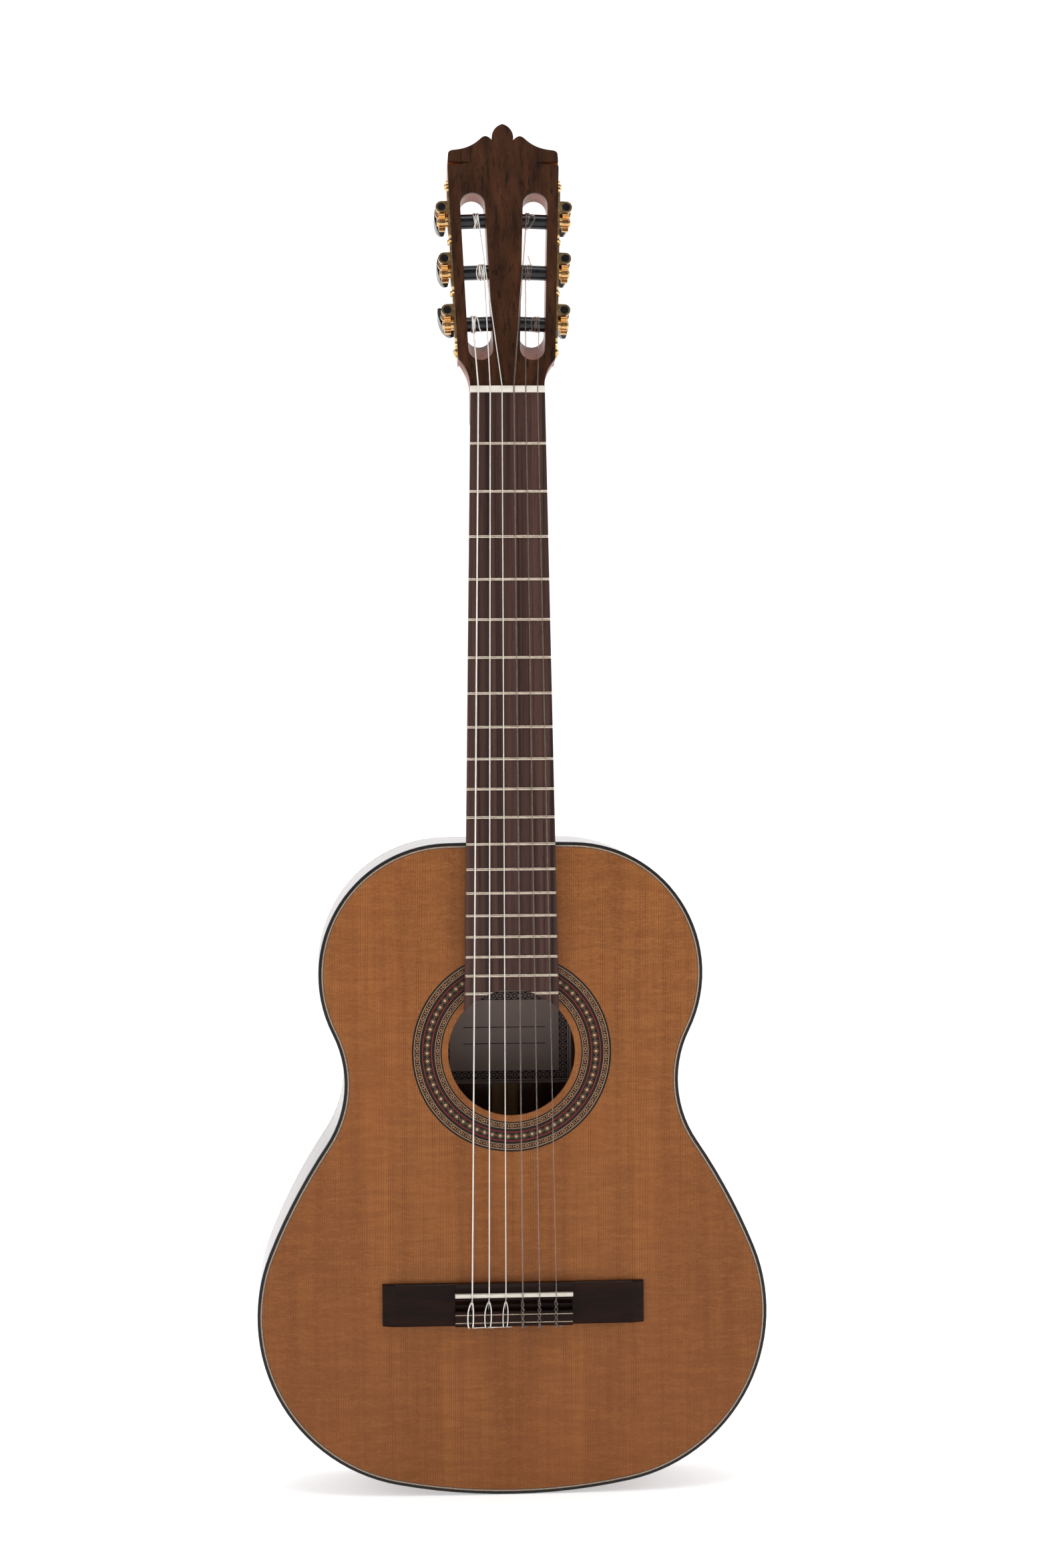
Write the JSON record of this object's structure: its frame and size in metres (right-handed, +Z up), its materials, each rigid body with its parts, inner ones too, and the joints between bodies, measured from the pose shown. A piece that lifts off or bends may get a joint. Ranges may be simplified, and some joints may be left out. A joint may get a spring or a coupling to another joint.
{
  "type": "classical guitar",
  "caption": "Classical guitar with a cedar soundboard, rosewood body, slotted head, geared tuning machines, tie bridge and nylon strings.",
  "frame": {"origin": "middle of the guitar across and through its depth, at the lowest point of the tail", "axes": "+Z up the neck toward the head, X across with the bass side at -X, the soundboard faces -Y"},
  "size_m": [0.3594, 0.1058, 0.9687],
  "materials": {
    "cedar": "gloss lacquer over straight-grained cedar",
    "mosaic": "inlaid wood mosaic under lacquer",
    "maple": "pale inlay line under lacquer",
    "black_line": "dyed wood line under lacquer",
    "ebonised": "black gloss binding",
    "rosewood_body": "gloss lacquered rosewood",
    "spruce": "bare spruce inside the body",
    "paper": "plain paper label with an ornamental border",
    "neck_wood": "satin lacquered cedrela",
    "rosewood_dark": "gloss lacquered rosewood veneer",
    "fretboard_wood": "oiled rosewood",
    "bridge_wood": "polished dark rosewood",
    "bone": "polished bone",
    "nickel_silver": "polished fret wire",
    "gold": "polished gold plate",
    "black_inlay": "black pearl-like disc",
    "roller_black": "black plastic sleeve",
    "button_black": "polished black plastic",
    "wound_string": "silver-plated wound string",
    "nylon": "clear nylon"
  },
  "bodies": {
    "body": {"soundboard": "cedar", "rosette": "mosaic", "purfling_top": "maple", "purfling_line": "black_line", "binding_top": "ebonised", "binding_back": "ebonised", "side_bass": "rosewood_body", "side_treble": "rosewood_body", "back_bass": "rosewood_body", "back_treble": "rosewood_body", "tail_block": "spruce", "linings": "spruce", "top_braces": "spruce", "back_braces": "spruce", "back_strip": "spruce", "label": "paper", "neck": "neck_wood", "head_core": "neck_wood", "heel_cap": "rosewood_dark", "head_veneer": "rosewood_dark", "fretboard": "fretboard_wood", "frets": "nickel_silver", "nut": "bone", "bridge": "bridge_wood", "bridge_inlays": "maple", "saddle": "bone", "plate_bass": "gold", "plate_treble": "gold", "plate_screws": "gold", "worm_caps": "black_inlay", "string_1": "nylon", "string_2": "nylon", "string_3": "nylon", "string_4": "wound_string", "string_5": "wound_string", "string_6": "wound_string"},
    "tuner_6": {"worm_6": "gold", "button_6": "button_black"},
    "winder_6": {"roller_6": "roller_black", "gear_6": "gold"},
    "tuner_5": {"worm_5": "gold", "button_5": "button_black"},
    "winder_5": {"roller_5": "roller_black", "gear_5": "gold"},
    "tuner_4": {"worm_4": "gold", "button_4": "button_black"},
    "winder_4": {"roller_4": "roller_black", "gear_4": "gold"},
    "tuner_3": {"worm_3": "gold", "button_3": "button_black"},
    "winder_3": {"roller_3": "roller_black", "gear_3": "gold"},
    "tuner_2": {"worm_2": "gold", "button_2": "button_black"},
    "winder_2": {"roller_2": "roller_black", "gear_2": "gold"},
    "tuner_1": {"worm_1": "gold", "button_1": "button_black"},
    "winder_1": {"roller_1": "roller_black", "gear_1": "gold"}
  },
  "joints": [
    {"name": "turn_button_6", "type": "hinge", "parent": "body", "child": "tuner_6", "pos_m": [-0.04118, -0.02169, 0.83233], "axis": [0, -0.9781, 0.2079], "continuous": true},
    {"name": "turn_roller_6", "type": "hinge", "parent": "body", "child": "winder_6", "pos_m": [-0.03504, -0.02351, 0.82375], "axis": [-0.9993, -0.008, -0.0374], "continuous": true},
    {"name": "turn_button_5", "type": "hinge", "parent": "body", "child": "tuner_5", "pos_m": [-0.04264, -0.0138, 0.86948], "axis": [0, -0.9781, 0.2079], "continuous": true},
    {"name": "turn_roller_5", "type": "hinge", "parent": "body", "child": "winder_5", "pos_m": [-0.0365, -0.01562, 0.8609], "axis": [-0.9993, -0.008, -0.0374], "continuous": true},
    {"name": "turn_button_4", "type": "hinge", "parent": "body", "child": "tuner_4", "pos_m": [-0.04409, -0.0059, 0.90662], "axis": [0, -0.9781, 0.2079], "continuous": true},
    {"name": "turn_roller_4", "type": "hinge", "parent": "body", "child": "winder_4", "pos_m": [-0.03795, -0.00772, 0.89804], "axis": [-0.9993, -0.008, -0.0374], "continuous": true},
    {"name": "turn_button_3", "type": "hinge", "parent": "body", "child": "tuner_3", "pos_m": [0.04409, -0.0059, 0.90662], "axis": [0, -0.9781, 0.2079], "continuous": true},
    {"name": "turn_roller_3", "type": "hinge", "parent": "body", "child": "winder_3", "pos_m": [0.03795, -0.00772, 0.89804], "axis": [0.9993, -0.008, -0.0374], "continuous": true},
    {"name": "turn_button_2", "type": "hinge", "parent": "body", "child": "tuner_2", "pos_m": [0.04264, -0.0138, 0.86948], "axis": [0, -0.9781, 0.2079], "continuous": true},
    {"name": "turn_roller_2", "type": "hinge", "parent": "body", "child": "winder_2", "pos_m": [0.0365, -0.01562, 0.8609], "axis": [0.9993, -0.008, -0.0374], "continuous": true},
    {"name": "turn_button_1", "type": "hinge", "parent": "body", "child": "tuner_1", "pos_m": [0.04118, -0.02169, 0.83233], "axis": [0, -0.9781, 0.2079], "continuous": true},
    {"name": "turn_roller_1", "type": "hinge", "parent": "body", "child": "winder_1", "pos_m": [0.03504, -0.02351, 0.82375], "axis": [0.9993, -0.008, -0.0374], "continuous": true}
  ],
  "couplings": [
    {"joint": "turn_roller_6", "follows": "turn_button_6", "ratio": 0.071429},
    {"joint": "turn_roller_5", "follows": "turn_button_5", "ratio": 0.071429},
    {"joint": "turn_roller_4", "follows": "turn_button_4", "ratio": 0.071429},
    {"joint": "turn_roller_3", "follows": "turn_button_3", "ratio": -0.071429},
    {"joint": "turn_roller_2", "follows": "turn_button_2", "ratio": -0.071429},
    {"joint": "turn_roller_1", "follows": "turn_button_1", "ratio": -0.071429}
  ]
}
